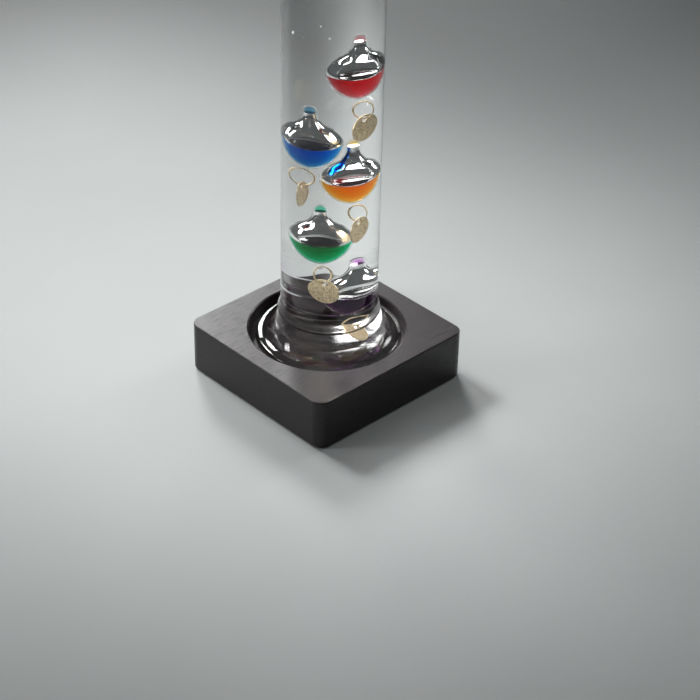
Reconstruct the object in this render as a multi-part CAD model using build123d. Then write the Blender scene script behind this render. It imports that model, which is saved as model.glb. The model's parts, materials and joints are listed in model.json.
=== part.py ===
"""Galileo thermometer on a square wooden base.

A sealed glass vessel filled with clear liquid stands in a round recess of the base. Five glass
floats swim in the liquid, one above another. Each float is a blown bulb, half filled with coloured
liquid, and carries a round brass temperature tag on a wire ring.

Origin: centre of the underside, where the felt pads rest. +Z up. Millimetres.
"""
from build123d import *
import os
from math import cos, radians, sin

# ---- wooden base ----
BASE_SIDE = 80.0
BASE_HEIGHT = 22.0
BASE_CORNER_R = 5.0
BASE_EDGE_R = 0.5
RECESS_R = 32.2
RECESS_DEPTH = 7.0
PAD_R = 5.0
PAD_THICK = 1.2
PAD_PROUD = 0.5
PAD_INSET = 29.0
PAD_GAP = 0.12

# ---- vessel: a tube fused at a weld to a flared foot, heights above the base's top face ----
TUBE_R = 19.7
WALL = 2.0
BORE_R = TUBE_R - WALL
WELD_Z = 18.0
WELD_GROOVE = 0.25
# Below the weld the wall swells to NECK_R, then tucks in to a crease where the flare begins.
NECK_TOP_Z = 14.0
NECK_R = 20.9
NECK_Z = 10.2
CREASE_R = 20.5
FLARE_TOP_Z = 9.0
FOOT_R = 30.0
FOOT_WIDEST_Z = -3.5
FOOT_EDGE_R = 1.8
FOOT_BOTTOM_Z = -RECESS_DEPTH
FOOT_HOLLOW_R = 22.0
FOOT_HOLLOW_DEPTH = 1.2
CAVITY_FLOOR_Z = -3.0
CAVITY_CORNER_R = 6.0
OVERALL_HEIGHT = 228.0
DOME_TOP_Z = 198.0
DOME_CORNER_R = 12.0
SEAL_TIP_R = 2.6
LIQUID_LEVEL_Z = 183.0
LIQUID_WALL_GAP = 0.05
VESSEL_OFFSET = 0.8

# ---- one float, heights above its widest circle ----
BULB_R = 9.2
BULB_WALL = 0.5
BULB_BOTTOM = 11.2
STEM_TOP = 15.5
STEM_R = 2.1
STEM_BASE = 12.0
# Points that the bulb's outline passes through, as shares of its radius and height.
BELLY_POINT = (0.66, -0.83)
SHOULDER_POINT = (0.74, 0.55)
THROAT_POINT = (0.38, 0.88)
SLOPE_GROWTH = 0.7
FILL_LEVEL = -1.0
FILL_GAP = 0.05
DROP_LENGTH = 2.4
LOOP_MEAN_R = 1.3
LOOP_WIRE_R = 0.35
LOOP_SINK = 0.35

# ---- ring and tag ----
RING_MEAN_R = 3.6
RING_WIRE_R = 0.28
TAG_R = 5.4
TAG_THICK = 0.45
TAG_HOLE_R = 1.15
TAG_HOLE_UP = 3.7
TAG_EDGE = 0.1
HANG_DROP = 0.3

# ---- where the floats rest: side and front are distances from the vessel's axis ----
FRONT_ANGLE = -45.0
# Room left in the liquid round every float, ring and tag.
LIQUID_ROOM = 0.4


class Float:
    """One float's place, and how its ring leans and its tag hangs.

    lean turns the ring away from straight down, towards lean_yaw. A swinging ring leans in its own
    plane, and a tipping ring leans like a door knocker. tag_skew turns the tag's face away from
    square to the ring's wire, and tag_swing turns it about that wire.
    """

    def __init__(self, name, side, front, height, stem_top, lean_yaw, lean, tips, tag_skew, tag_swing):
        self.name = name
        self.side = side
        self.front = front
        self.z = BASE_HEIGHT + height
        self.stem_top = stem_top
        self.lean_yaw = lean_yaw
        self.lean = lean
        self.tips = tips
        self.tag_skew = tag_skew
        self.tag_swing = tag_swing


FLOATS = [
    Float("violet", 6.4, -4.0, 19.4, STEM_TOP, -30.0, 40.0, True, -50.0, -88.0),
    Float("green", -2.6, 2.2, 46.4, STEM_TOP, 3.0, 15.0, True, 5.0, 0.0),
    Float("orange", 6.0, 2.3, 73.8, 17.0, 20.0, 42.0, False, 10.0, 0.0),
    Float("blue", -5.8, 1.8, 88.8, STEM_TOP, 210.0, 36.0, False, -12.0, 0.0),
    Float("red", 7.3, 2.0, 118.7, STEM_TOP, 30.0, 30.0, False, -12.0, 0.0),
]


def heading(angle):
    """Horizontal unit vector at an angle from +X."""
    return Vector(cos(radians(angle)), sin(radians(angle)), 0)


def vessel_axis():
    """Foot of the vessel's axis, which stands a little to the side of the base's centre."""
    return heading(FRONT_ANGLE + 90) * VESSEL_OFFSET


def axis_point(item):
    """Centre of a float's widest circle."""
    across = heading(FRONT_ANGLE + 90) * item.side
    forward = heading(FRONT_ANGLE) * item.front
    return vessel_axis() + across + forward + Vector(0, 0, item.z)


def above_base(height):
    return BASE_HEIGHT + height


def rounded(start, end, centre):
    """Arc in the XZ plane from start to end, about centre."""
    middle = (Vector(start) + Vector(end)) / 2 - Vector(centre)
    radius = (Vector(start) - Vector(centre)).length
    return ThreePointArc(start, Vector(centre) + middle.normalized() * radius, end)


def lathe(edges):
    """Solid of revolution about Z from a closed outline in the XZ plane."""
    return revolve(make_face(edges), Axis.Z)


def vessel_lathe(edges):
    """Solid of revolution about the vessel's axis."""
    return Location(vessel_axis()) * lathe(edges)


# ---- wooden base and its pads ----
def wooden_base():
    footprint = Pos(0, 0, PAD_PROUD) * RectangleRounded(BASE_SIDE, BASE_SIDE, BASE_CORNER_R)
    block = extrude(footprint, BASE_HEIGHT - PAD_PROUD)
    rims = block.edges().group_by(Axis.Z)
    block = fillet(rims[0] + rims[-1], BASE_EDGE_R)
    recess = Pos(0, 0, BASE_HEIGHT) * Cylinder(
        RECESS_R, RECESS_DEPTH, align=(Align.CENTER, Align.CENTER, Align.MAX)
    )
    block -= recess
    lip = block.edges().filter_by(GeomType.CIRCLE).filter_by(lambda e: abs(e.radius - RECESS_R) < 0.01)
    block = chamfer(lip.sort_by(Axis.Z)[-1], BASE_EDGE_R)
    for spot in pad_spots():
        block -= spot * Cylinder(PAD_R + PAD_GAP, PAD_THICK, align=(Align.CENTER, Align.CENTER, Align.MIN))
    return block


def pad_spots():
    return [Pos(x, y, 0) for x in (-PAD_INSET, PAD_INSET) for y in (-PAD_INSET, PAD_INSET)]


def felt_pads():
    disc = Cylinder(PAD_R, PAD_THICK, align=(Align.CENTER, Align.CENTER, Align.MIN)).solid()
    return Compound(children=[spot * disc for spot in pad_spots()])


# ---- vessel ----
def foot_inside():
    """Outline of the cavity in the foot, from the weld down to the axis."""
    floor = above_base(CAVITY_FLOOR_Z)
    weld = above_base(WELD_Z)
    corner_x = BORE_R - CAVITY_CORNER_R
    corner_z = floor + CAVITY_CORNER_R
    return [
        Line((BORE_R, 0, weld), (BORE_R, 0, corner_z)),
        rounded((BORE_R, 0, corner_z), (corner_x, 0, floor), (corner_x, 0, corner_z)),
        Line((corner_x, 0, floor), (0, 0, floor)),
    ]


def glass_foot():
    weld = above_base(WELD_Z)
    neck_top = above_base(NECK_TOP_Z)
    flare_top = above_base(FLARE_TOP_Z)
    widest = above_base(FOOT_WIDEST_Z)
    bottom = above_base(FOOT_BOTTOM_Z)
    edge_x = FOOT_R - FOOT_EDGE_R
    groove = WELD_GROOVE
    outline = foot_inside()
    outline += [
        Line((BORE_R, 0, weld), (TUBE_R - groove, 0, weld)),
        Line((TUBE_R - groove, 0, weld), (TUBE_R, 0, weld - groove)),
        Line((TUBE_R, 0, weld - groove), (TUBE_R, 0, neck_top)),
        Spline(
            (TUBE_R, 0, neck_top),
            (NECK_R, 0, above_base(NECK_Z)),
            (CREASE_R, 0, flare_top),
            tangents=[(0, 0, -1), (-0.5, 0, -1)],
        ),
        Spline(
            (CREASE_R, 0, flare_top),
            (edge_x, 0, widest + FOOT_EDGE_R),
            tangents=[(0.45, 0, -1), (1, 0, -0.12)],
        ),
        ThreePointArc(
            (edge_x, 0, widest + FOOT_EDGE_R),
            (FOOT_R, 0, widest),
            (edge_x, 0, widest - FOOT_EDGE_R),
        ),
        Line((edge_x, 0, widest - FOOT_EDGE_R), (edge_x - FOOT_EDGE_R, 0, bottom)),
        Line((edge_x - FOOT_EDGE_R, 0, bottom), (FOOT_HOLLOW_R, 0, bottom)),
        ThreePointArc(
            (FOOT_HOLLOW_R, 0, bottom),
            (FOOT_HOLLOW_R / 2, 0, bottom + FOOT_HOLLOW_DEPTH * 0.75),
            (0, 0, bottom + FOOT_HOLLOW_DEPTH),
        ),
        Line((0, 0, bottom + FOOT_HOLLOW_DEPTH), (0, 0, above_base(CAVITY_FLOOR_Z))),
    ]
    return vessel_lathe(outline)


def dome_outline(radius, top, corner):
    """Outer or inner dome from the wall's top to the axis: a corner arc, then a shallow crown."""
    shoulder = top - corner
    crown_x = radius - corner
    return [
        rounded((radius, 0, shoulder), (crown_x, 0, top), (crown_x, 0, shoulder)),
        Line((crown_x, 0, top), (0, 0, top)),
    ]


def glass_tube():
    weld = above_base(WELD_Z)
    dome = above_base(DOME_TOP_Z)
    inner_top = dome - WALL
    inner_corner = DOME_CORNER_R - WALL
    groove = WELD_GROOVE
    tip_start = 2 * SEAL_TIP_R
    outline = [
        Line((BORE_R, 0, weld), (TUBE_R - groove, 0, weld)),
        Line((TUBE_R - groove, 0, weld), (TUBE_R, 0, weld + groove)),
        Line((TUBE_R, 0, weld + groove), (TUBE_R, 0, dome - DOME_CORNER_R)),
        dome_outline(TUBE_R, dome, DOME_CORNER_R)[0],
        Line((TUBE_R - DOME_CORNER_R, 0, dome), (tip_start, 0, dome)),
        Spline(
            (tip_start, 0, dome),
            (SEAL_TIP_R, 0, (dome + OVERALL_HEIGHT) / 2),
            (0, 0, OVERALL_HEIGHT),
            tangents=[(-1, 0, 0.15), (-1, 0, 0)],
        ),
        Line((0, 0, OVERALL_HEIGHT), (0, 0, inner_top)),
        *dome_outline(BORE_R, inner_top, inner_corner),
        Line((BORE_R, 0, inner_top - inner_corner), (BORE_R, 0, weld)),
    ]
    return vessel_lathe(outline)


def clear_liquid():
    """The filling, a little clear of the glass, with room for the floats, rings and tags."""
    gap = LIQUID_WALL_GAP
    floor = above_base(CAVITY_FLOOR_Z) + gap
    radius = BORE_R - gap
    corner = CAVITY_CORNER_R
    level = above_base(LIQUID_LEVEL_Z)
    outline = [
        Line((0, 0, floor), (radius - corner, 0, floor)),
        rounded(
            (radius - corner, 0, floor), (radius, 0, floor + corner), (radius - corner, 0, floor + corner)
        ),
        Line((radius, 0, floor + corner), (radius, 0, level)),
        Line((radius, 0, level), (0, 0, level)),
        Line((0, 0, level), (0, 0, floor)),
    ]
    filling = vessel_lathe(outline)
    room = LIQUID_ROOM
    for item in FLOATS:
        filling -= Location(axis_point(item)) * lathe(bulb_outline(item.stem_top, room))
        frame = RingFrame(item)
        filling -= frame.ring_place * Torus(RING_MEAN_R, RING_WIRE_R + room)
        filling -= frame.tag_place * Cylinder(TAG_R + room, TAG_THICK + 2 * room)
        filling -= frame.loop_place * Torus(LOOP_MEAN_R, LOOP_WIRE_R + room)
    return filling


# ---- floats ----
def outline_point(share, grow):
    """Point on a bulb's sloping side, moved outwards by about grow."""
    outwards = SLOPE_GROWTH if share[1] > 0 else -SLOPE_GROWTH
    return (share[0] * (BULB_R + grow), 0, share[1] * BULB_R + outwards * grow)


def bulb_side(stem_top, grow):
    """Half outline of a bulb's surface, moved outwards by grow, from the bottom to the stem's top."""
    radius = BULB_R + grow
    stem_r = STEM_R + grow
    bottom = -BULB_BOTTOM - grow
    stem_base = STEM_BASE + stem_top - STEM_TOP
    lower = Spline(
        (0, 0, bottom),
        outline_point(BELLY_POINT, grow),
        (radius, 0, 0),
        tangents=[(1, 0, 0.2), (0, 0, 1)],
    )
    upper = Spline(
        (radius, 0, 0),
        outline_point(SHOULDER_POINT, grow),
        outline_point(THROAT_POINT, grow),
        (stem_r, 0, stem_base),
        tangents=[(0, 0, 1), (0, 0, 1)],
    )
    stem = Line((stem_r, 0, stem_base), (stem_r, 0, stem_top - stem_r))
    cap = rounded((stem_r, 0, stem_top - stem_r), (0, 0, stem_top), (0, 0, stem_top - stem_r))
    return [lower, upper, stem, cap]


def bulb_outline(stem_top, grow=0.0):
    """Closed half outline of a bulb, solid."""
    top = stem_top + grow
    outline = bulb_side(top, grow)
    outline.append(Line((0, 0, top), (0, 0, -BULB_BOTTOM - grow)))
    return outline


def hollow(stem_top, grow):
    """The space inside a bulb, as a solid."""
    return lathe(bulb_outline(stem_top, -BULB_WALL - grow))


class RingFrame:
    """Places of a float's loop, ring and tag, and the hinge lines between them."""

    def __init__(self, item):
        down = Vector(0, 0, -1)
        towards = heading(item.lean_yaw)
        across = heading(item.lean_yaw + 90)
        eye = axis_point(item) + down * (BULB_BOTTOM + LOOP_MEAN_R + LOOP_WIRE_R - LOOP_SINK)
        self.hang = eye + down * HANG_DROP
        lean = radians(item.lean)
        radius_dir = down * cos(lean) + towards * sin(lean)
        centre = self.hang + radius_dir * RING_MEAN_R
        if item.tips:
            wire_at_top = across
            wire_at_foot = across
            normal = towards * cos(lean) + Vector(0, 0, sin(lean))
            foot = centre + radius_dir * RING_MEAN_R
        else:
            wire_at_top = towards * cos(lean) + Vector(0, 0, sin(lean))
            wire_at_foot = towards
            normal = across
            foot = centre + down * RING_MEAN_R
        self.ring_axis = across
        self.ring_pivot = self.hang if item.tips else eye + down * LOOP_MEAN_R
        self.foot = foot
        self.tag_axis = wire_at_foot
        loop_normal = Vector(wire_at_top.X, wire_at_top.Y, 0).normalized()
        self.loop_place = Location(Plane(eye, x_dir=(0, 0, 1), z_dir=loop_normal))
        self.ring_place = Location(Plane(centre, x_dir=radius_dir, z_dir=normal))
        face = wire_at_foot.rotate(Axis.Z, item.tag_skew)
        middle = down * (HANG_DROP + TAG_HOLE_UP)
        spin = item.tag_swing
        turn = Axis((0, 0, 0), wire_at_foot)
        middle = middle.rotate(turn, spin)
        face = face.rotate(turn, spin)
        up = Vector(0, 0, 1).rotate(turn, spin)
        self.tag_place = Location(Plane(foot + middle, x_dir=up, z_dir=face))


def bulb(item):
    place = Location(axis_point(item))
    body = place * lathe(bulb_outline(item.stem_top))
    loop = RingFrame(item).loop_place * Torus(LOOP_MEAN_R, LOOP_WIRE_R)
    body += loop
    return body - place * hollow(item.stem_top, 0)


def fill(item):
    """The coloured pool in the bulb and the drop that stays in the stem."""
    place = Location(axis_point(item))
    inside = hollow(item.stem_top, FILL_GAP)
    big = 3 * BULB_R
    pool = inside & Pos(0, 0, FILL_LEVEL) * Box(big, big, big, align=(Align.CENTER, Align.CENTER, Align.MAX))
    drop_z = item.stem_top - DROP_LENGTH - BULB_WALL
    drop = inside & Pos(0, 0, drop_z) * Box(big, big, big, align=(Align.CENTER, Align.CENTER, Align.MIN))
    return Compound(children=[place * pool.solid(), place * drop.solid()])


def ring(item):
    return RingFrame(item).ring_place * Torus(RING_MEAN_R, RING_WIRE_R)


def tag(item):
    disc = Cylinder(TAG_R, TAG_THICK)
    disc = chamfer(disc.edges().filter_by(GeomType.CIRCLE), TAG_EDGE)
    disc -= Pos(TAG_HOLE_UP, 0, 0) * Cylinder(TAG_HOLE_R, 2 * TAG_THICK)
    return RingFrame(item).tag_place * disc


def nodes():
    """Every node's name and shape."""
    made = {
        "wooden_base": wooden_base(),
        "felt_pads": felt_pads(),
        "glass_foot": glass_foot(),
        "glass_tube": glass_tube(),
        "clear_liquid": clear_liquid(),
    }
    for item in FLOATS:
        made[item.name + "_bulb"] = bulb(item)
        made[item.name + "_fill"] = fill(item)
        made[item.name + "_ring"] = ring(item)
        made[item.name + "_tag"] = tag(item)
    return made


if __name__ == "__main__":
    os.makedirs("parts", exist_ok=True)
    for name, shape in nodes().items():
        export_step(shape, f"parts/{name}.step")
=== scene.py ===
"""Looks of the galileo thermometer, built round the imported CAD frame. Metres, +Z up."""
import json
from math import cos, exp, pi, radians, sin

import bmesh
import bpy
import numpy as np
from mathutils import Matrix, Vector, geometry


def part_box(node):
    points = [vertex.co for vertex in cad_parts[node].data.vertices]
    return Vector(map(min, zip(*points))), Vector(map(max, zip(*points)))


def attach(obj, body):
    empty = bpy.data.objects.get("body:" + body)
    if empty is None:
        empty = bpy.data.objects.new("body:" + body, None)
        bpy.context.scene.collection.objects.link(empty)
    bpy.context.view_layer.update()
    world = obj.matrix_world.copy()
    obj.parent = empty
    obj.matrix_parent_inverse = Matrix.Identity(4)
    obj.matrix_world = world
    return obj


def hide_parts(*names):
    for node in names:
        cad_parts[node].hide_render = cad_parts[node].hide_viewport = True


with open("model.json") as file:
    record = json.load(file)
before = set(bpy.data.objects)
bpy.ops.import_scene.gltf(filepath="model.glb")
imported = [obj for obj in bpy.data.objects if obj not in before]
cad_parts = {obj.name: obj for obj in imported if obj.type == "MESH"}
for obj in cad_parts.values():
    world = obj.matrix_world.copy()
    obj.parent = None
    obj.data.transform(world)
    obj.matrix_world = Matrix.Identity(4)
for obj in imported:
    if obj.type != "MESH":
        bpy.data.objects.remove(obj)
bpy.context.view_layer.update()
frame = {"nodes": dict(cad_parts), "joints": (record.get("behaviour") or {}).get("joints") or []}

MM = 0.001

# ---- camera: round from -Y towards +X, and above the horizon, in degrees ----
CAMERA_AZIMUTH = 46.014
CAMERA_ELEVATION = 34.353
CAMERA_ROLL = 1.291
CAMERA_DISTANCE = 819.19 * MM
CAMERA_LENS = 102.95
# How far the camera is moved to its own right and up, off the line through the base's top.
AIM_RIGHT = 9.52 * MM
AIM_UP = -9.94 * MM

# ---- refraction ----
GLASS_IOR = 1.5
LIQUID_IOR = 1.43
DYED_IOR = 1.46
GLASS_IN_LIQUID = GLASS_IOR / LIQUID_IOR
GLASS_ON_DYE = GLASS_IOR / DYED_IOR

# ---- vessel, heights above the base's top face ----
WALL = 2.0 * MM
WELD_GROOVE = 0.14 * MM
WELD_WIDTH = 0.35 * MM
# The weld's rise and fall round the tube: height, waves per turn, start in radians.
WELD_WAVES = ((0.22 * MM, 2, 0.6), (0.12 * MM, 5, 0.0))
WELD_WAVE_REACH = 1.6 * MM
NECK_TOP = 14.0 * MM
NECK_R = 20.9 * MM
NECK_MIDDLE = 10.2 * MM
CREASE_R = 20.5 * MM
FLARE_TOP = 9.0 * MM
FOOT_WIDEST = -3.5 * MM
FOOT_EDGE_R = 1.8 * MM
FOOT_HOLLOW_R = 22.0 * MM
FOOT_HOLLOW_DEPTH = 1.2 * MM
CAVITY_CORNER_R = 6.0 * MM
DOME_TOP = 198.0 * MM
DOME_CORNER_R = 12.0 * MM
SEAL_TIP_R = 2.6 * MM
LIQUID_GAP = 0.05 * MM
LIQUID_INSET = 0.02 * MM
MENISCUS_RISE = 0.9 * MM
MENISCUS_REACH = 1.3 * MM

# ---- floats, heights above the widest circle ----
BULB_R = 9.2 * MM
BULB_WALL = 0.5 * MM
BULB_BOTTOM = 11.2 * MM
STEM_R = 2.1 * MM
STEM_LENGTH = 3.5 * MM
FILL_LEVEL = -1.0 * MM
FILL_GAP = 0.02 * MM
FILL_RISE = 0.45 * MM
FILL_REACH = 0.7 * MM
DROP_LENGTH = 2.4 * MM
LOOP_MEAN_R = 1.3 * MM
LOOP_WIRE_R = 0.35 * MM
LOOP_SINK = 0.35 * MM
# Points that the bulb's outline passes through, as shares of its radius and height.
BELLY_POINT = (0.66, -0.83)
SHOULDER_POINT = (0.74, 0.55)
THROAT_POINT = (0.38, 0.88)
SLOPE_GROWTH = 0.7

# ---- rings and tags ----
RING_MEAN_R = 3.6 * MM
RING_WIRE_R = 0.28 * MM
TAG_R = 5.4 * MM
TAG_THICK = 0.45 * MM
TAG_HOLE_R = 1.15 * MM
TAG_HOLE_UP = 3.7 * MM
TAG_RELIEF = 0.06 * MM
TAG_RIM_WIDTH = 0.45 * MM
TAG_EYELET_WIDTH = 0.35 * MM
PLATE_BEVEL = 0.04 * MM
RIM_BEVEL = 0.05 * MM
DIGIT_HEIGHT = 5.2 * MM
DIGIT_DROP = 0.9 * MM
RING_SLIT = 0.03
RING_SLIT_AT = 200.0

# ---- felt pads ----
PAD_R = 5.0 * MM
PAD_EDGE_R = 0.35 * MM

# ---- stage: spots and aims are (right, away, up) from the base's top, as the camera sees them ----
FLOOR_SIDE = 3.0
WORLD_COLOUR = (0.80, 0.85, 0.86, 1)
WORLD_STRENGTH = 0.11
LIGHT_POOL = (-0.07, 0.09, 0)
FLOATS_HEIGHT = (0, 0, 0.08)

# The number on each float's tag, in degrees Celsius.
FLOATS = {"violet": "18", "green": "20", "orange": "22", "blue": "24", "red": "26"}
# How strongly each dye takes up red, green and blue light, per metre.
DYES = {
    "violet": (110.0, 380.0, 80.0),
    "green": (700.0, 120.0, 250.0),
    "orange": (5.0, 125.0, 420.0),
    "blue": (480.0, 160.0, 25.0),
    "red": (20.0, 280.0, 260.0),
}
JOINTS = {joint["name"]: joint for joint in frame["joints"]}

# ---- fineness of the round surfaces: faces in a full turn ----
VESSEL_FACES = 192
LIQUID_FACES = 128
BULB_FACES = 96
# Length of a quarter circle's handles, as a share of its radius.
CIRCLE_HANDLE = 0.5523


# ---- places read from the frame ----
base_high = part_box("wooden_base")[1]
foot_low, foot_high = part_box("glass_foot")
tube_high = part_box("glass_tube")[1]
liquid_low, liquid_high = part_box("clear_liquid")
BASE_TOP = base_high.z
VESSEL_CENTRE = (foot_low + foot_high) / 2 * Vector((1, 1, 0))
FOOT_R = (foot_high.x - foot_low.x) / 2
BORE_R = (liquid_high.x - liquid_low.x) / 2 + LIQUID_GAP
TUBE_R = BORE_R + WALL
CAVITY_FLOOR = liquid_low.z - LIQUID_GAP
WELD = foot_high.z
LEVEL = liquid_high.z


def thin_axis(node):
    """Direction in which a flat CAD node is thinnest."""
    points = np.array([v.co for v in frame["nodes"][node].data.vertices])
    return Vector(np.linalg.svd(points - points.mean(0), full_matrices=False)[2][2])


def middle(node):
    low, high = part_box(node)
    return (low + high) / 2


# ---- outlines: points (radius, height) ----
def arc(centre, radius, start, end, steps=12):
    turns = [radians(start + (end - start) * i / steps) for i in range(steps + 1)]
    return [(centre[0] + radius * cos(t), centre[1] + radius * sin(t)) for t in turns]


def smooth(points, first, last, steps=10):
    """Curve through all the points, which leaves along first and arrives along last."""
    points = [Vector(p) for p in points]
    directions = [Vector(first).normalized()]
    for before, after in zip(points, points[2:]):
        directions.append((after - before).normalized())
    directions.append(Vector(last).normalized())
    curve = []
    for i, (a, b) in enumerate(zip(points, points[1:])):
        reach = (b - a).length / 3
        piece = geometry.interpolate_bezier(
            a, a + directions[i] * reach, b - directions[i + 1] * reach, b, steps + 1
        )
        curve += [tuple(p) for p in piece[(1 if curve else 0):]]
    return curve


def joined(*pieces):
    """One outline from several, without doubled points."""
    outline = []
    for point in (p for piece in pieces for p in piece):
        if not outline or (Vector(point) - Vector(outline[-1])).length > 1e-7:
            outline.append(point)
    return outline


def cut(outline, height):
    """The outline with a point added wherever it crosses height."""
    result = [outline[0]]
    for a, b in zip(outline, outline[1:]):
        if (a[1] - height) * (b[1] - height) < 0:
            share = (height - a[1]) / (b[1] - a[1])
            result.append((a[0] + (b[0] - a[0]) * share, height))
        result.append(b)
    return result


# ---- meshes ----
def add_lathe(bm, outline, segments, material=0, wave=None):
    """Surface of revolution about Z; an outline that runs up has its normals outwards."""
    rows = []
    for radius, height in outline:
        if radius < 1e-9:
            rows.append([bm.verts.new((0, 0, height))])
            continue
        row = []
        for i in range(segments):
            turn = 2 * pi * i / segments
            lift = wave(height, turn) if wave else 0.0
            row.append(bm.verts.new((radius * cos(turn), radius * sin(turn), height + lift)))
        rows.append(row)
    made = []
    for low, high in zip(rows, rows[1:]):
        for i in range(segments):
            j = (i + 1) % segments
            ring = [low[i % len(low)], low[j % len(low)], high[j % len(high)], high[i % len(high)]]
            corners = list(dict.fromkeys(ring))
            face = bm.faces.new(corners)
            face.material_index = material
            made.append(face)
    return made


def add_torus(bm, mean_r, wire_r, place, around, across, start=0.0, end=2 * pi):
    """Torus about the place's Z; with a start and an end it is an open ring with flat ends."""
    whole = end - start > 2 * pi - 1e-6
    count = around if whole else around + 1
    rows = []
    for i in range(count):
        turn = start + (end - start) * i / around
        out = Vector((cos(turn), sin(turn), 0))
        row = []
        for k in range(across):
            roll = 2 * pi * k / across
            spot = out * (mean_r + wire_r * cos(roll)) + Vector((0, 0, wire_r * sin(roll)))
            row.append(bm.verts.new(place @ spot))
        rows.append(row)
    pairs = list(zip(rows, rows[1:] + rows[:1])) if whole else list(zip(rows, rows[1:]))
    for a, b in pairs:
        for k in range(across):
            m = (k + 1) % across
            bm.faces.new((a[k], b[k], b[m], a[m]))
    if not whole:
        bm.faces.new(rows[0])
        bm.faces.new(list(reversed(rows[-1])))


def as_object(name, bm, materials, sharp=30.0):
    mesh = bpy.data.meshes.new(name)
    bm.to_mesh(mesh)
    bm.free()
    mesh.shade_smooth()
    mesh.set_sharp_from_angle(angle=radians(sharp))
    for material in materials:
        mesh.materials.append(material)
    piece = bpy.data.objects.new(name, mesh)
    bpy.context.collection.objects.link(piece)
    return piece


def place_on(centre, normal, up):
    """Matrix with Z along normal and Y near up, at centre."""
    z = normal.normalized()
    x = up.cross(z).normalized()
    y = z.cross(x)
    turn = Matrix((x, y, z)).transposed().to_4x4()
    return Matrix.Translation(centre) @ turn


# ---- materials ----
def new_material(name):
    material = bpy.data.materials.new(name)
    material.use_nodes = True
    nodes = material.node_tree.nodes
    shader = next(n for n in nodes if n.type == "BSDF_PRINCIPLED")
    return material, material.node_tree, shader


def link(tree, a, b):
    tree.links.new(a, b)


def add(tree, kind, **values):
    node = tree.nodes.new(kind)
    for key, value in values.items():
        if hasattr(node, key):
            setattr(node, key, value)
        else:
            node.inputs[key.replace("_", " ")].default_value = value
    return node


def object_noise(tree, stretch, scale, detail=4.0, roughness=0.5):
    """Noise in the piece's own space, stretched along its axes."""
    coords = add(tree, "ShaderNodeTexCoord")
    mapping = add(tree, "ShaderNodeMapping")
    mapping.inputs["Scale"].default_value = stretch
    link(tree, coords.outputs["Object"], mapping.inputs["Vector"])
    noise = add(tree, "ShaderNodeTexNoise", Scale=scale, Detail=detail, Roughness=roughness)
    link(tree, mapping.outputs["Vector"], noise.inputs["Vector"])
    return noise


def ramp(tree, source, stops):
    """Colour ramp from a grey source; stops are (position, colour)."""
    node = add(tree, "ShaderNodeValToRGB")
    elements = node.color_ramp.elements
    while len(elements) < len(stops):
        elements.new(0.5)
    for element, (position, colour) in zip(elements, stops):
        element.position = position
        element.color = (*colour, 1.0)
    link(tree, source, node.inputs["Fac"])
    return node


def bump(tree, shader, height, strength, distance):
    node = add(tree, "ShaderNodeBump", Strength=strength, Distance=distance)
    link(tree, height, node.inputs["Height"])
    link(tree, node.outputs["Normal"], shader.inputs["Normal"])
    return node


def glass(name, ior, colour=(1.0, 1.0, 1.0), waviness=0.0, wave_scale=60.0):
    material, tree, shader = new_material(name)
    shader.inputs["Base Color"].default_value = (*colour, 1.0)
    shader.inputs["Roughness"].default_value = 0.0
    shader.inputs["IOR"].default_value = ior
    shader.inputs["Transmission Weight"].default_value = 1.0
    if waviness:
        noise = object_noise(tree, (1, 1, 0.35), wave_scale, 1.0)
        bump(tree, shader, noise.outputs["Fac"], waviness, 0.4 * MM)
    return material


def dyed(name, ior, uptake):
    """Coloured liquid; uptake is per metre for red, green and blue."""
    material = glass(name, ior)
    tree = material.node_tree
    strongest = max(uptake)
    volume = add(tree, "ShaderNodeVolumeAbsorption", Density=strongest)
    volume.inputs["Color"].default_value = (*[1 - u / strongest for u in uptake], 1.0)
    output = next(n for n in tree.nodes if n.type == "OUTPUT_MATERIAL")
    link(tree, volume.outputs["Volume"], output.inputs["Volume"])
    return material


def bedding_painted_shade():
    """Dark film under the foot, standing for glue and made dark as painted shade for the foot's front;
    seen through the glass as a dim mirror.
    """
    material, tree, shader = new_material("dark_bedding_painted_shade")
    blotches = object_noise(tree, (1, 1, 1), 260.0, 4.0, 0.6)
    colour = ramp(
        tree, blotches.outputs["Fac"], [(0.35, (0.004, 0.003, 0.003)), (0.7, (0.020, 0.014, 0.014))]
    )
    link(tree, colour.outputs["Color"], shader.inputs["Base Color"])
    gloss = ramp(tree, blotches.outputs["Fac"], [(0.3, (0.06,) * 3), (0.7, (0.16,) * 3)])
    link(tree, gloss.outputs["Color"], shader.inputs["Roughness"])
    shader.inputs["IOR"].default_value = 2.2
    return material


def wood():
    material, tree, shader = new_material("stained_wood")
    pores = object_noise(tree, (1500, 150, 1500), 1.0, 5.0, 0.6)
    colour = ramp(
        tree,
        pores.outputs["Fac"],
        [(0.34, (0.001, 0.001, 0.001)), (0.46, (0.008, 0.004, 0.005)), (0.72, (0.018, 0.008, 0.010))],
    )
    link(tree, colour.outputs["Color"], shader.inputs["Base Color"])
    gloss = ramp(tree, pores.outputs["Fac"], [(0.36, (0.55,) * 3), (0.50, (0.31,) * 3)])
    link(tree, gloss.outputs["Color"], shader.inputs["Roughness"])
    shader.inputs["Specular IOR Level"].default_value = 0.5
    relief = ramp(tree, pores.outputs["Fac"], [(0.36, (0.0,) * 3), (0.48, (1.0,) * 3)])
    bump(tree, shader, relief.outputs["Color"], 0.14, 0.05 * MM)
    return material


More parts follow.
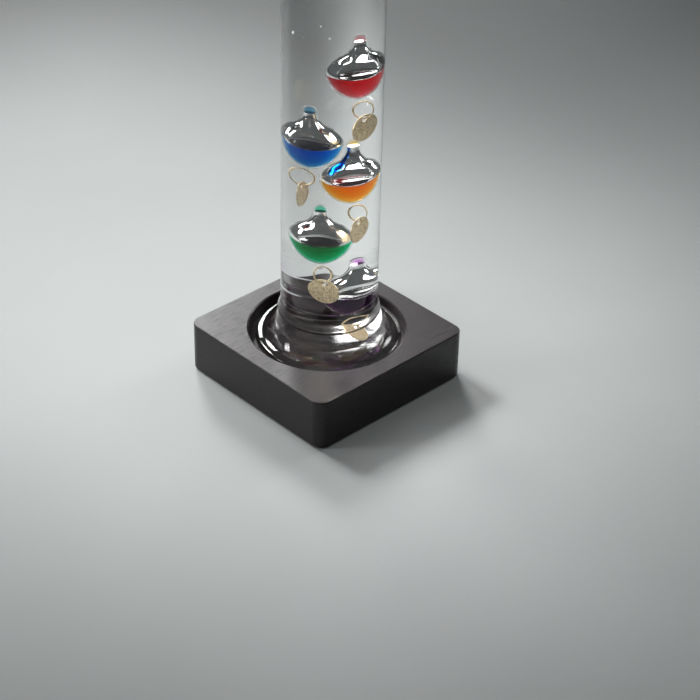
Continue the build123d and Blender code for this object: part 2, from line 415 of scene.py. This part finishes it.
def brass(name):
    material, tree, shader = new_material(name)
    tarnish = object_noise(tree, (1, 1, 1), 1300.0, 5.0, 0.7)
    colour = ramp(
        tree,
        tarnish.outputs["Fac"],
        [(0.36, (0.38, 0.28, 0.15)), (0.5, (0.72, 0.58, 0.36)), (0.64, (0.88, 0.76, 0.52))],
    )
    link(tree, colour.outputs["Color"], shader.inputs["Base Color"])
    shader.inputs["Metallic"].default_value = 0.7
    speckle = object_noise(tree, (1, 1, 1), 2600.0, 3.0, 0.6)
    gloss = ramp(tree, speckle.outputs["Fac"], [(0.3, (0.24,) * 3), (0.7, (0.44,) * 3)])
    link(tree, gloss.outputs["Color"], shader.inputs["Roughness"])
    bump(tree, shader, speckle.outputs["Fac"], 0.25, 0.05 * MM)
    return material


def felt():
    material, tree, shader = new_material("black_felt")
    fibres = object_noise(tree, (1, 1, 1), 3200.0, 4.0, 0.7)
    colour = ramp(tree, fibres.outputs["Fac"], [(0.3, (0.006,) * 3), (0.7, (0.035, 0.034, 0.033))])
    link(tree, colour.outputs["Color"], shader.inputs["Base Color"])
    shader.inputs["Roughness"].default_value = 0.95
    shader.inputs["Sheen Weight"].default_value = 0.5
    bump(tree, shader, fibres.outputs["Fac"], 0.8, 0.15 * MM)
    return material


def floor_paint():
    material, tree, shader = new_material("pale_floor")
    mottle = object_noise(tree, (1, 1, 1), 9.0, 3.0, 0.5)
    colour = ramp(
        tree, mottle.outputs["Fac"], [(0.3, (0.46, 0.485, 0.48)), (0.7, (0.49, 0.515, 0.51))]
    )
    link(tree, colour.outputs["Color"], shader.inputs["Base Color"])
    shader.inputs["Roughness"].default_value = 0.6
    return material


# ---- vessel ----
def foot_outline():
    """Outside of the foot, from the axis under it up to the flare's top."""
    bottom = foot_low.z
    widest = BASE_TOP + FOOT_WIDEST
    edge_x = FOOT_R - FOOT_EDGE_R
    hollow = [
        (FOOT_HOLLOW_R * i / 10, bottom + FOOT_HOLLOW_DEPTH * (1 - (i / 10) ** 2)) for i in range(11)
    ]
    rim = arc((edge_x, widest), FOOT_EDGE_R, -90, 90, 16)
    flare = smooth([rim[-1], (CREASE_R, BASE_TOP + FLARE_TOP)], (-1, 0.12), (-0.45, 1), 28)
    return joined(hollow, [(edge_x - FOOT_EDGE_R, bottom)], rim, flare)


def tube_outline():
    """Outside of the tube, from the crease over the neck, weld and dome to the sealed tip."""
    dome = BASE_TOP + DOME_TOP
    neck = smooth(
        [
            (CREASE_R, BASE_TOP + FLARE_TOP),
            (NECK_R, BASE_TOP + NECK_MIDDLE),
            (TUBE_R, BASE_TOP + NECK_TOP),
        ],
        (0.5, 1),
        (0, 1),
        16,
    )
    wall = [
        *neck,
        (TUBE_R, WELD - 2 * WELD_WIDTH),
        *[
            (TUBE_R - WELD_GROOVE * (0.5 + 0.5 * cos(pi * i / 5)), WELD + WELD_WIDTH * i / 5)
            for i in range(-5, 6)
        ],
        (TUBE_R, WELD + 2 * WELD_WIDTH),
    ]
    rows = 40
    straight = dome - DOME_CORNER_R - wall[-1][1]
    wall += [(TUBE_R, wall[-1][1] + straight * i / rows) for i in range(1, rows)]
    corner = arc((TUBE_R - DOME_CORNER_R, dome - DOME_CORNER_R), DOME_CORNER_R, 0, 90, 24)
    tip = smooth(
        [(2 * SEAL_TIP_R, dome), (SEAL_TIP_R, (dome + tube_high.z) / 2), (0, tube_high.z)],
        (-1, 0.15),
        (-1, 0),
    )
    return joined(wall, corner, tip)


def cavity_outline(inset=0.0):
    """Inside of the vessel, from the axis on its floor up to the axis under the dome."""
    radius = BORE_R - inset
    floor = CAVITY_FLOOR + inset
    ceiling = BASE_TOP + DOME_TOP - WALL - inset
    top_corner = DOME_CORNER_R - WALL
    return joined(
        [(0, floor)],
        arc((radius - CAVITY_CORNER_R, floor + CAVITY_CORNER_R), CAVITY_CORNER_R, -90, 0, 16),
        arc((radius - top_corner, ceiling - top_corner), top_corner, 0, 90, 20),
        [(0, ceiling)],
    )


def weld_wave(height, turn):
    """The hand-made weld rises and falls a little round the tube."""
    near = exp(-(((height - WELD) / WELD_WAVE_REACH) ** 2))
    return near * sum(size * sin(count * turn + start) for size, count, start in WELD_WAVES)


def vessel():
    """Foot and tube as one piece of glass, with an outer and an inner surface."""
    outside, wet, dry, bedded_painted_shade = range(4)
    bm = bmesh.new()
    outline = joined(foot_outline(), tube_outline())
    # The foot's underside gets the dark bedding film, which paints shade into the foot's front seen
    # through the glass.
    for face in add_lathe(bm, outline, VESSEL_FACES, outside, weld_wave):
        if face.calc_center_median().z < foot_low.z + FOOT_HOLLOW_DEPTH:
            face.material_index = bedded_painted_shade
    edge = LEVEL + MENISCUS_RISE
    inside = list(reversed(cut(cavity_outline(), edge)))
    for face in add_lathe(bm, inside, VESSEL_FACES, wet):
        if face.calc_center_median().z > edge:
            face.material_index = dry
    bmesh.ops.translate(bm, verts=bm.verts, vec=VESSEL_CENTRE)
    piece = as_object("glass_vessel", bm, [VESSEL_GLASS, WET_GLASS, DRY_GLASS, FOOT_BEDDING_PAINTED_SHADE])
    # Glass and liquid cast no shadow, so that light reaches the floats.
    piece.visible_shadow = False
    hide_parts("glass_tube", "glass_foot")
    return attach(piece, "vessel")


# ---- liquids ----
def surface(radius, level, rise, reach):
    """Free surface from the wall to the axis, climbing the wall a little."""
    steps = [0, 0.12, 0.25, 0.4, 0.6, 0.9, 1.3, 1.8, 2.5, 3.5]
    points = [(radius - s * reach, level + rise * exp(-s * 1.6)) for s in steps]
    return points + [(0, level)]


def below(outline, height):
    """The part of a rising outline under height, ending on it."""
    kept = cut(outline, height)
    return [p for p in kept if p[1] <= height + 1e-9]


def liquid():
    """The clear filling: its sides just inside the glass, and its free surface."""
    side, top = range(2)
    bm = bmesh.new()
    sides = below(cavity_outline(LIQUID_INSET), LEVEL + MENISCUS_RISE)
    add_lathe(bm, sides, LIQUID_FACES, side)
    meniscus = surface(BORE_R - LIQUID_INSET, LEVEL, MENISCUS_RISE, MENISCUS_REACH)
    add_lathe(bm, meniscus, LIQUID_FACES, top)
    bmesh.ops.remove_doubles(bm, verts=bm.verts, dist=1e-7)
    bmesh.ops.translate(bm, verts=bm.verts, vec=VESSEL_CENTRE)
    piece = as_object("liquid_filling", bm, [LIQUID_SIDE, LIQUID_TOP])
    piece.visible_shadow = False
    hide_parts("clear_liquid")
    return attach(piece, "vessel")


# ---- floats ----
def outline_point(share, grow):
    """Point on a bulb's sloping side, moved outwards by about grow."""
    outwards = SLOPE_GROWTH if share[1] > 0 else -SLOPE_GROWTH
    return (share[0] * (BULB_R + grow), share[1] * BULB_R + outwards * grow)


def bulb_outline(stem_top, grow=0.0):
    """A bulb's surface, moved outwards by grow, from its bottom to its stem's top."""
    radius = BULB_R + grow
    stem_r = STEM_R + grow
    top = stem_top + grow
    lower = smooth(
        [(0, -BULB_BOTTOM - grow), outline_point(BELLY_POINT, grow), (radius, 0)],
        (1, 0.2),
        (0, 1),
        14,
    )
    upper = smooth(
        [
            (radius, 0),
            outline_point(SHOULDER_POINT, grow),
            outline_point(THROAT_POINT, grow),
            (stem_r, top - STEM_LENGTH),
        ],
        (0, 1),
        (0, 1),
        12,
    )
    return joined(lower, upper, arc((0, top - stem_r), stem_r, 0, 90, 10))


def union(a, b):
    """Mesh of two objects made into one solid; both objects are removed."""
    modifier = a.modifiers.new("union", "BOOLEAN")
    modifier.operation = "UNION"
    modifier.solver = "EXACT"
    modifier.object = b
    bpy.context.view_layer.update()
    mesh = bpy.data.meshes.new_from_object(a.evaluated_get(bpy.context.evaluated_depsgraph_get()))
    bpy.data.objects.remove(a)
    bpy.data.objects.remove(b)
    return mesh


def float_shape(name):
    """Centre of a float's widest circle, and heights from it: stem's top, dye's edges, loop's eye."""
    low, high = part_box(name + "_bulb")
    eye_up = LOOP_MEAN_R + LOOP_WIRE_R
    widest = low.z + 2 * eye_up - LOOP_SINK + BULB_BOTTOM
    centre = Vector(((low.x + high.x) / 2, (low.y + high.y) / 2, widest))
    stem_top = high.z - widest
    pool_edge = FILL_LEVEL + FILL_RISE
    drop_edge = stem_top - BULB_WALL - DROP_LENGTH
    return centre, stem_top, pool_edge, drop_edge, low.z + eye_up - widest


def loop_normal(name):
    """Direction that a bulb's glass loop faces, square to the direction that its ring faces."""
    swing = Vector(JOINTS[name + "_ring_swing"]["axis"])
    in_ring_plane = abs(thin_axis(name + "_ring").dot(swing)) > 0.9
    return swing.cross(Vector((0, 0, 1))) if in_ring_plane else swing


def bulb(name):
    """Blown bulb with its stem and loop; its glass meets air between the pool and the drop of dye."""
    outside, on_air, on_dye = range(3)
    centre, stem_top, pool_edge, drop_edge, eye_height = float_shape(name)

    bm = bmesh.new()
    add_lathe(bm, bulb_outline(stem_top), BULB_FACES)
    body = as_object("body", bm, [])
    bm = bmesh.new()
    upright = Vector((0, 0, 1))
    place = place_on(Vector((0, 0, eye_height)), loop_normal(name), upright)
    add_torus(bm, LOOP_MEAN_R, LOOP_WIRE_R, place, 40, 16)
    loop = as_object("loop", bm, [])
    shell = union(body, loop)

    bm = bmesh.new()
    bm.from_mesh(shell)
    for face in bm.faces:
        face.material_index = outside
    inside = cut(cut(bulb_outline(stem_top, -BULB_WALL), pool_edge), drop_edge)
    for face in add_lathe(bm, list(reversed(inside)), BULB_FACES, on_air):
        height = face.calc_center_median().z
        if height < pool_edge or height > drop_edge:
            face.material_index = on_dye
    bmesh.ops.translate(bm, verts=bm.verts, vec=centre)
    piece = as_object(name + "_blown_bulb", bm, [BULB_OUTSIDE, BULB_ON_AIR, BULB_ON_DYE])
    piece.visible_shadow = False
    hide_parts(name + "_bulb")
    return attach(piece, name + "_float")


def filling(name):
    """A float's dyed liquid: the pool in its bulb and the drop left at its stem's top."""
    side, top = range(2)
    centre, stem_top, pool_edge, drop_edge, _ = float_shape(name)
    bm = bmesh.new()
    inside = bulb_outline(stem_top, -BULB_WALL - FILL_GAP)
    pool = below(inside, pool_edge)
    add_lathe(bm, pool, BULB_FACES, side)
    add_lathe(bm, surface(pool[-1][0], FILL_LEVEL, FILL_RISE, FILL_REACH), BULB_FACES, top)
    drop = [p for p in cut(inside, drop_edge) if p[1] >= drop_edge - 1e-9]
    add_lathe(bm, [(0, drop_edge), drop[0]], BULB_FACES, top)
    add_lathe(bm, drop, BULB_FACES, side)
    bmesh.ops.remove_doubles(bm, verts=bm.verts, dist=1e-7)
    bmesh.ops.translate(bm, verts=bm.verts, vec=centre)
    side_dye = dyed(name + "_dye", 1.0, DYES[name])
    top_dye = dyed(name + "_dye_surface", DYED_IOR, DYES[name])
    piece = as_object(name + "_dyed_pool", bm, [side_dye, top_dye])
    piece.visible_shadow = False
    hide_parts(name + "_fill")
    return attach(piece, name + "_float")


# ---- rings and tags ----
def ring(name):
    """Brass jump ring, cut once through its wire."""
    centre = middle(name + "_ring")
    foot = Vector(JOINTS[name + "_tag_swing"]["pos_m"])
    place = place_on(centre, thin_axis(name + "_ring"), foot - centre)
    start = radians(RING_SLIT_AT)
    bm = bmesh.new()
    add_torus(bm, RING_MEAN_R, RING_WIRE_R, place, 96, 20, start, start + 2 * pi - RING_SLIT)
    piece = as_object(name + "_jump_ring", bm, [RING_BRASS], 50.0)
    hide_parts(name + "_ring")
    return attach(piece, name + "_ring")


def curve_mesh(curve, place):
    """Mesh of a filled flat curve, put in place."""
    helper = bpy.data.objects.new("helper", curve)
    bpy.context.collection.objects.link(helper)
    bpy.context.view_layer.update()
    made = helper.evaluated_get(bpy.context.evaluated_depsgraph_get())
    mesh = bpy.data.meshes.new_from_object(made)
    mesh.transform(place)
    bpy.data.objects.remove(helper)
    return mesh


def flat_shape(circles, half_thick, bevel):
    """Flat plate from circles (centre x, centre y, radius); every circle after the first is a hole."""
    curve = bpy.data.curves.new("plate", "CURVE")
    curve.dimensions = "2D"
    curve.fill_mode = "BOTH"
    curve.extrude = half_thick - bevel
    curve.bevel_depth = bevel
    curve.bevel_resolution = 3
    curve.offset = -bevel
    curve.resolution_u = 24
    for x, y, radius in circles:
        spline = curve.splines.new("BEZIER")
        spline.bezier_points.add(3)
        handle = radius * CIRCLE_HANDLE
        for point, (dx, dy) in zip(spline.bezier_points, ((1, 0), (0, 1), (-1, 0), (0, -1))):
            point.co = (x + dx * radius, y + dy * radius, 0)
            point.handle_left = point.co + Vector((dy, -dx, 0)) * handle
            point.handle_right = point.co + Vector((-dy, dx, 0)) * handle
        spline.use_cyclic_u = True
    return curve


def digits(text, raise_by):
    curve = bpy.data.curves.new("digits", "FONT")
    curve.body = text
    curve.size = DIGIT_HEIGHT
    curve.align_x = "CENTER"
    curve.align_y = "CENTER"
    curve.extrude = raise_by
    curve.resolution_u = 4
    return curve


def tag(name, number):
    """Stamped brass disc with a raised rim, an eyelet round its hole, and its number on both faces."""
    centre = middle(name + "_tag")
    up = (Vector(JOINTS[name + "_tag_swing"]["pos_m"]) - centre).normalized()
    normal = thin_axis(name + "_tag")
    half = TAG_THICK / 2 - TAG_RELIEF
    place = place_on(centre, normal, up)
    hole = (0, TAG_HOLE_UP, TAG_HOLE_R)
    parts = [curve_mesh(flat_shape([(0, 0, TAG_R), hole], half, PLATE_BEVEL), place)]
    rim = [(0, 0, TAG_R), (0, 0, TAG_R - TAG_RIM_WIDTH)]
    parts.append(curve_mesh(flat_shape(rim, TAG_THICK / 2, RIM_BEVEL), place))
    eyelet = [(0, TAG_HOLE_UP, TAG_HOLE_R + TAG_EYELET_WIDTH), hole]
    parts.append(curve_mesh(flat_shape(eyelet, TAG_THICK / 2, RIM_BEVEL), place))
    low = Matrix.Translation((0, -DIGIT_DROP, 0))
    for side in (1, -1):
        face = place_on(centre, normal * side, up)
        lift = Matrix.Translation((0, 0, half))
        parts.append(curve_mesh(digits(number, TAG_RELIEF), face @ low @ lift))
    bm = bmesh.new()
    for part in parts:
        bm.from_mesh(part)
    bmesh.ops.remove_doubles(bm, verts=bm.verts, dist=1e-7)
    piece = as_object(name + "_stamped_tag", bm, [TAG_BRASS], 35.0)
    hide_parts(name + "_tag")
    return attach(piece, name + "_tag")


# ---- felt pads ----
def felt_pads():
    """Four soft discs with rounded edges, flat only where they rest."""
    low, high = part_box("felt_pads")
    inset = high.x - PAD_R
    top = high.z
    soft = PAD_EDGE_R
    outline = joined(
        [(0, low.z)],
        arc((PAD_R - soft, low.z + soft), soft, -90, 0, 6),
        arc((PAD_R - soft, top - soft), soft, 0, 90, 6),
        [(0, top)],
    )
    bm = bmesh.new()
    for x in (-inset, inset):
        for y in (-inset, inset):
            made = add_lathe(bm, outline, 48)
            corners = {v for face in made for v in face.verts}
            bmesh.ops.translate(bm, verts=list(corners), vec=(x, y, 0))
    piece = as_object("felt_discs", bm, [FELT])
    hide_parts("felt_pads")
    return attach(piece, "base")


# ---- stage ----
def floor():
    bm = bmesh.new()
    bmesh.ops.create_grid(bm, x_segments=2, y_segments=2, size=FLOOR_SIDE / 2)
    piece = as_object("studio_floor", bm, [floor_paint()])


def camera():
    data = bpy.data.cameras.new("camera")
    data.lens = CAMERA_LENS
    data.sensor_width = 36.0
    data.clip_start = 0.01
    data.clip_end = 20.0
    turn = (
        Matrix.Rotation(radians(CAMERA_AZIMUTH), 3, "Z")
        @ Matrix.Rotation(radians(90 - CAMERA_ELEVATION), 3, "X")
        @ Matrix.Rotation(radians(CAMERA_ROLL), 3, "Z")
    )
    eye = Vector((0, 0, BASE_TOP)) + turn @ Vector((AIM_RIGHT, AIM_UP, CAMERA_DISTANCE))
    item = bpy.data.objects.new("camera", data)
    item.matrix_world = Matrix.Translation(eye) @ turn.to_4x4()
    bpy.context.collection.objects.link(item)
    bpy.context.scene.camera = item


def seen_from_camera(right, away, up):
    """Point given by its distances to the camera's right, away from it and up, from the base's top."""
    right_way = Vector((cos(radians(CAMERA_AZIMUTH)), sin(radians(CAMERA_AZIMUTH)), 0))
    away_way = Vector((-right_way.y, right_way.x, 0))
    return right_way * right + away_way * away + Vector((0, 0, BASE_TOP + up))


def light(name, spot, aim, width, height, watts, spread):
    """Soft box at spot, turned to aim, with its light kept within spread degrees."""
    spot = seen_from_camera(*spot)
    aim = seen_from_camera(*aim)
    data = bpy.data.lights.new(name, "AREA")
    data.shape = "RECTANGLE"
    data.size = width
    data.size_y = height
    data.energy = watts
    data.spread = radians(spread)
    item = bpy.data.objects.new(name, data)
    item.location = spot
    item.rotation_mode = "QUATERNION"
    item.rotation_quaternion = (aim - spot).to_track_quat("-Z", "Y")
    bpy.context.collection.objects.link(item)


def studio():
    world = bpy.data.worlds.new("studio")
    world.use_nodes = True
    background = world.node_tree.nodes["Background"]
    background.inputs["Color"].default_value = WORLD_COLOUR
    background.inputs["Strength"].default_value = WORLD_STRENGTH
    scene = bpy.context.scene
    scene.world = world
    light("key_window", (-0.40, 0.42, 0.42), LIGHT_POOL, 0.30, 0.30, 0.26, 24.0)
    light("left_card", (-0.60, -0.10, 0.34), FLOATS_HEIGHT, 0.12, 0.5, 0.10, 30.0)
    light("right_card", (0.45, 0.35, 0.36), FLOATS_HEIGHT, 0.22, 0.5, 0.09, 28.0)
    light("back_wall", (-0.36, 1.15, 0.62), (-0.07, 0.04, 0), 0.7, 0.40, 0.50, 22.0)
    scene.view_settings.view_transform = "Standard"
    # Light passes through many nested surfaces of glass and liquid.
    scene.cycles.max_bounces = 40
    scene.cycles.transmission_bounces = 36
    scene.cycles.glossy_bounces = 12
    scene.cycles.transparent_max_bounces = 32


VESSEL_GLASS = glass("clear_glass", GLASS_IOR, (0.985, 0.995, 0.99), 0.05)
WET_GLASS = glass("wetted_glass", GLASS_IN_LIQUID)
DRY_GLASS = glass("dry_glass", GLASS_IOR)
# Dark film under the foot: painted shade for the foot's front, partly standing for glue.
FOOT_BEDDING_PAINTED_SHADE = bedding_painted_shade()
LIQUID_SIDE = glass("liquid_side", 1.0)
LIQUID_TOP = glass("liquid_surface", LIQUID_IOR)
BULB_OUTSIDE = glass("bulb_glass", GLASS_IN_LIQUID, (0.99, 0.99, 0.99))
BULB_ON_AIR = glass("bulb_glass_dry", GLASS_IOR, waviness=0.04, wave_scale=140.0)
BULB_ON_DYE = glass("bulb_glass_wet", GLASS_ON_DYE)
RING_BRASS = brass("ring_brass")
TAG_BRASS = brass("tag_brass")
FELT = felt()

frame["nodes"]["wooden_base"].data.materials.clear()
frame["nodes"]["wooden_base"].data.materials.append(wood())
vessel()
liquid()
for name, number in FLOATS.items():
    bulb(name)
    filling(name)
    ring(name)
    tag(name, number)
felt_pads()
floor()
camera()
studio()
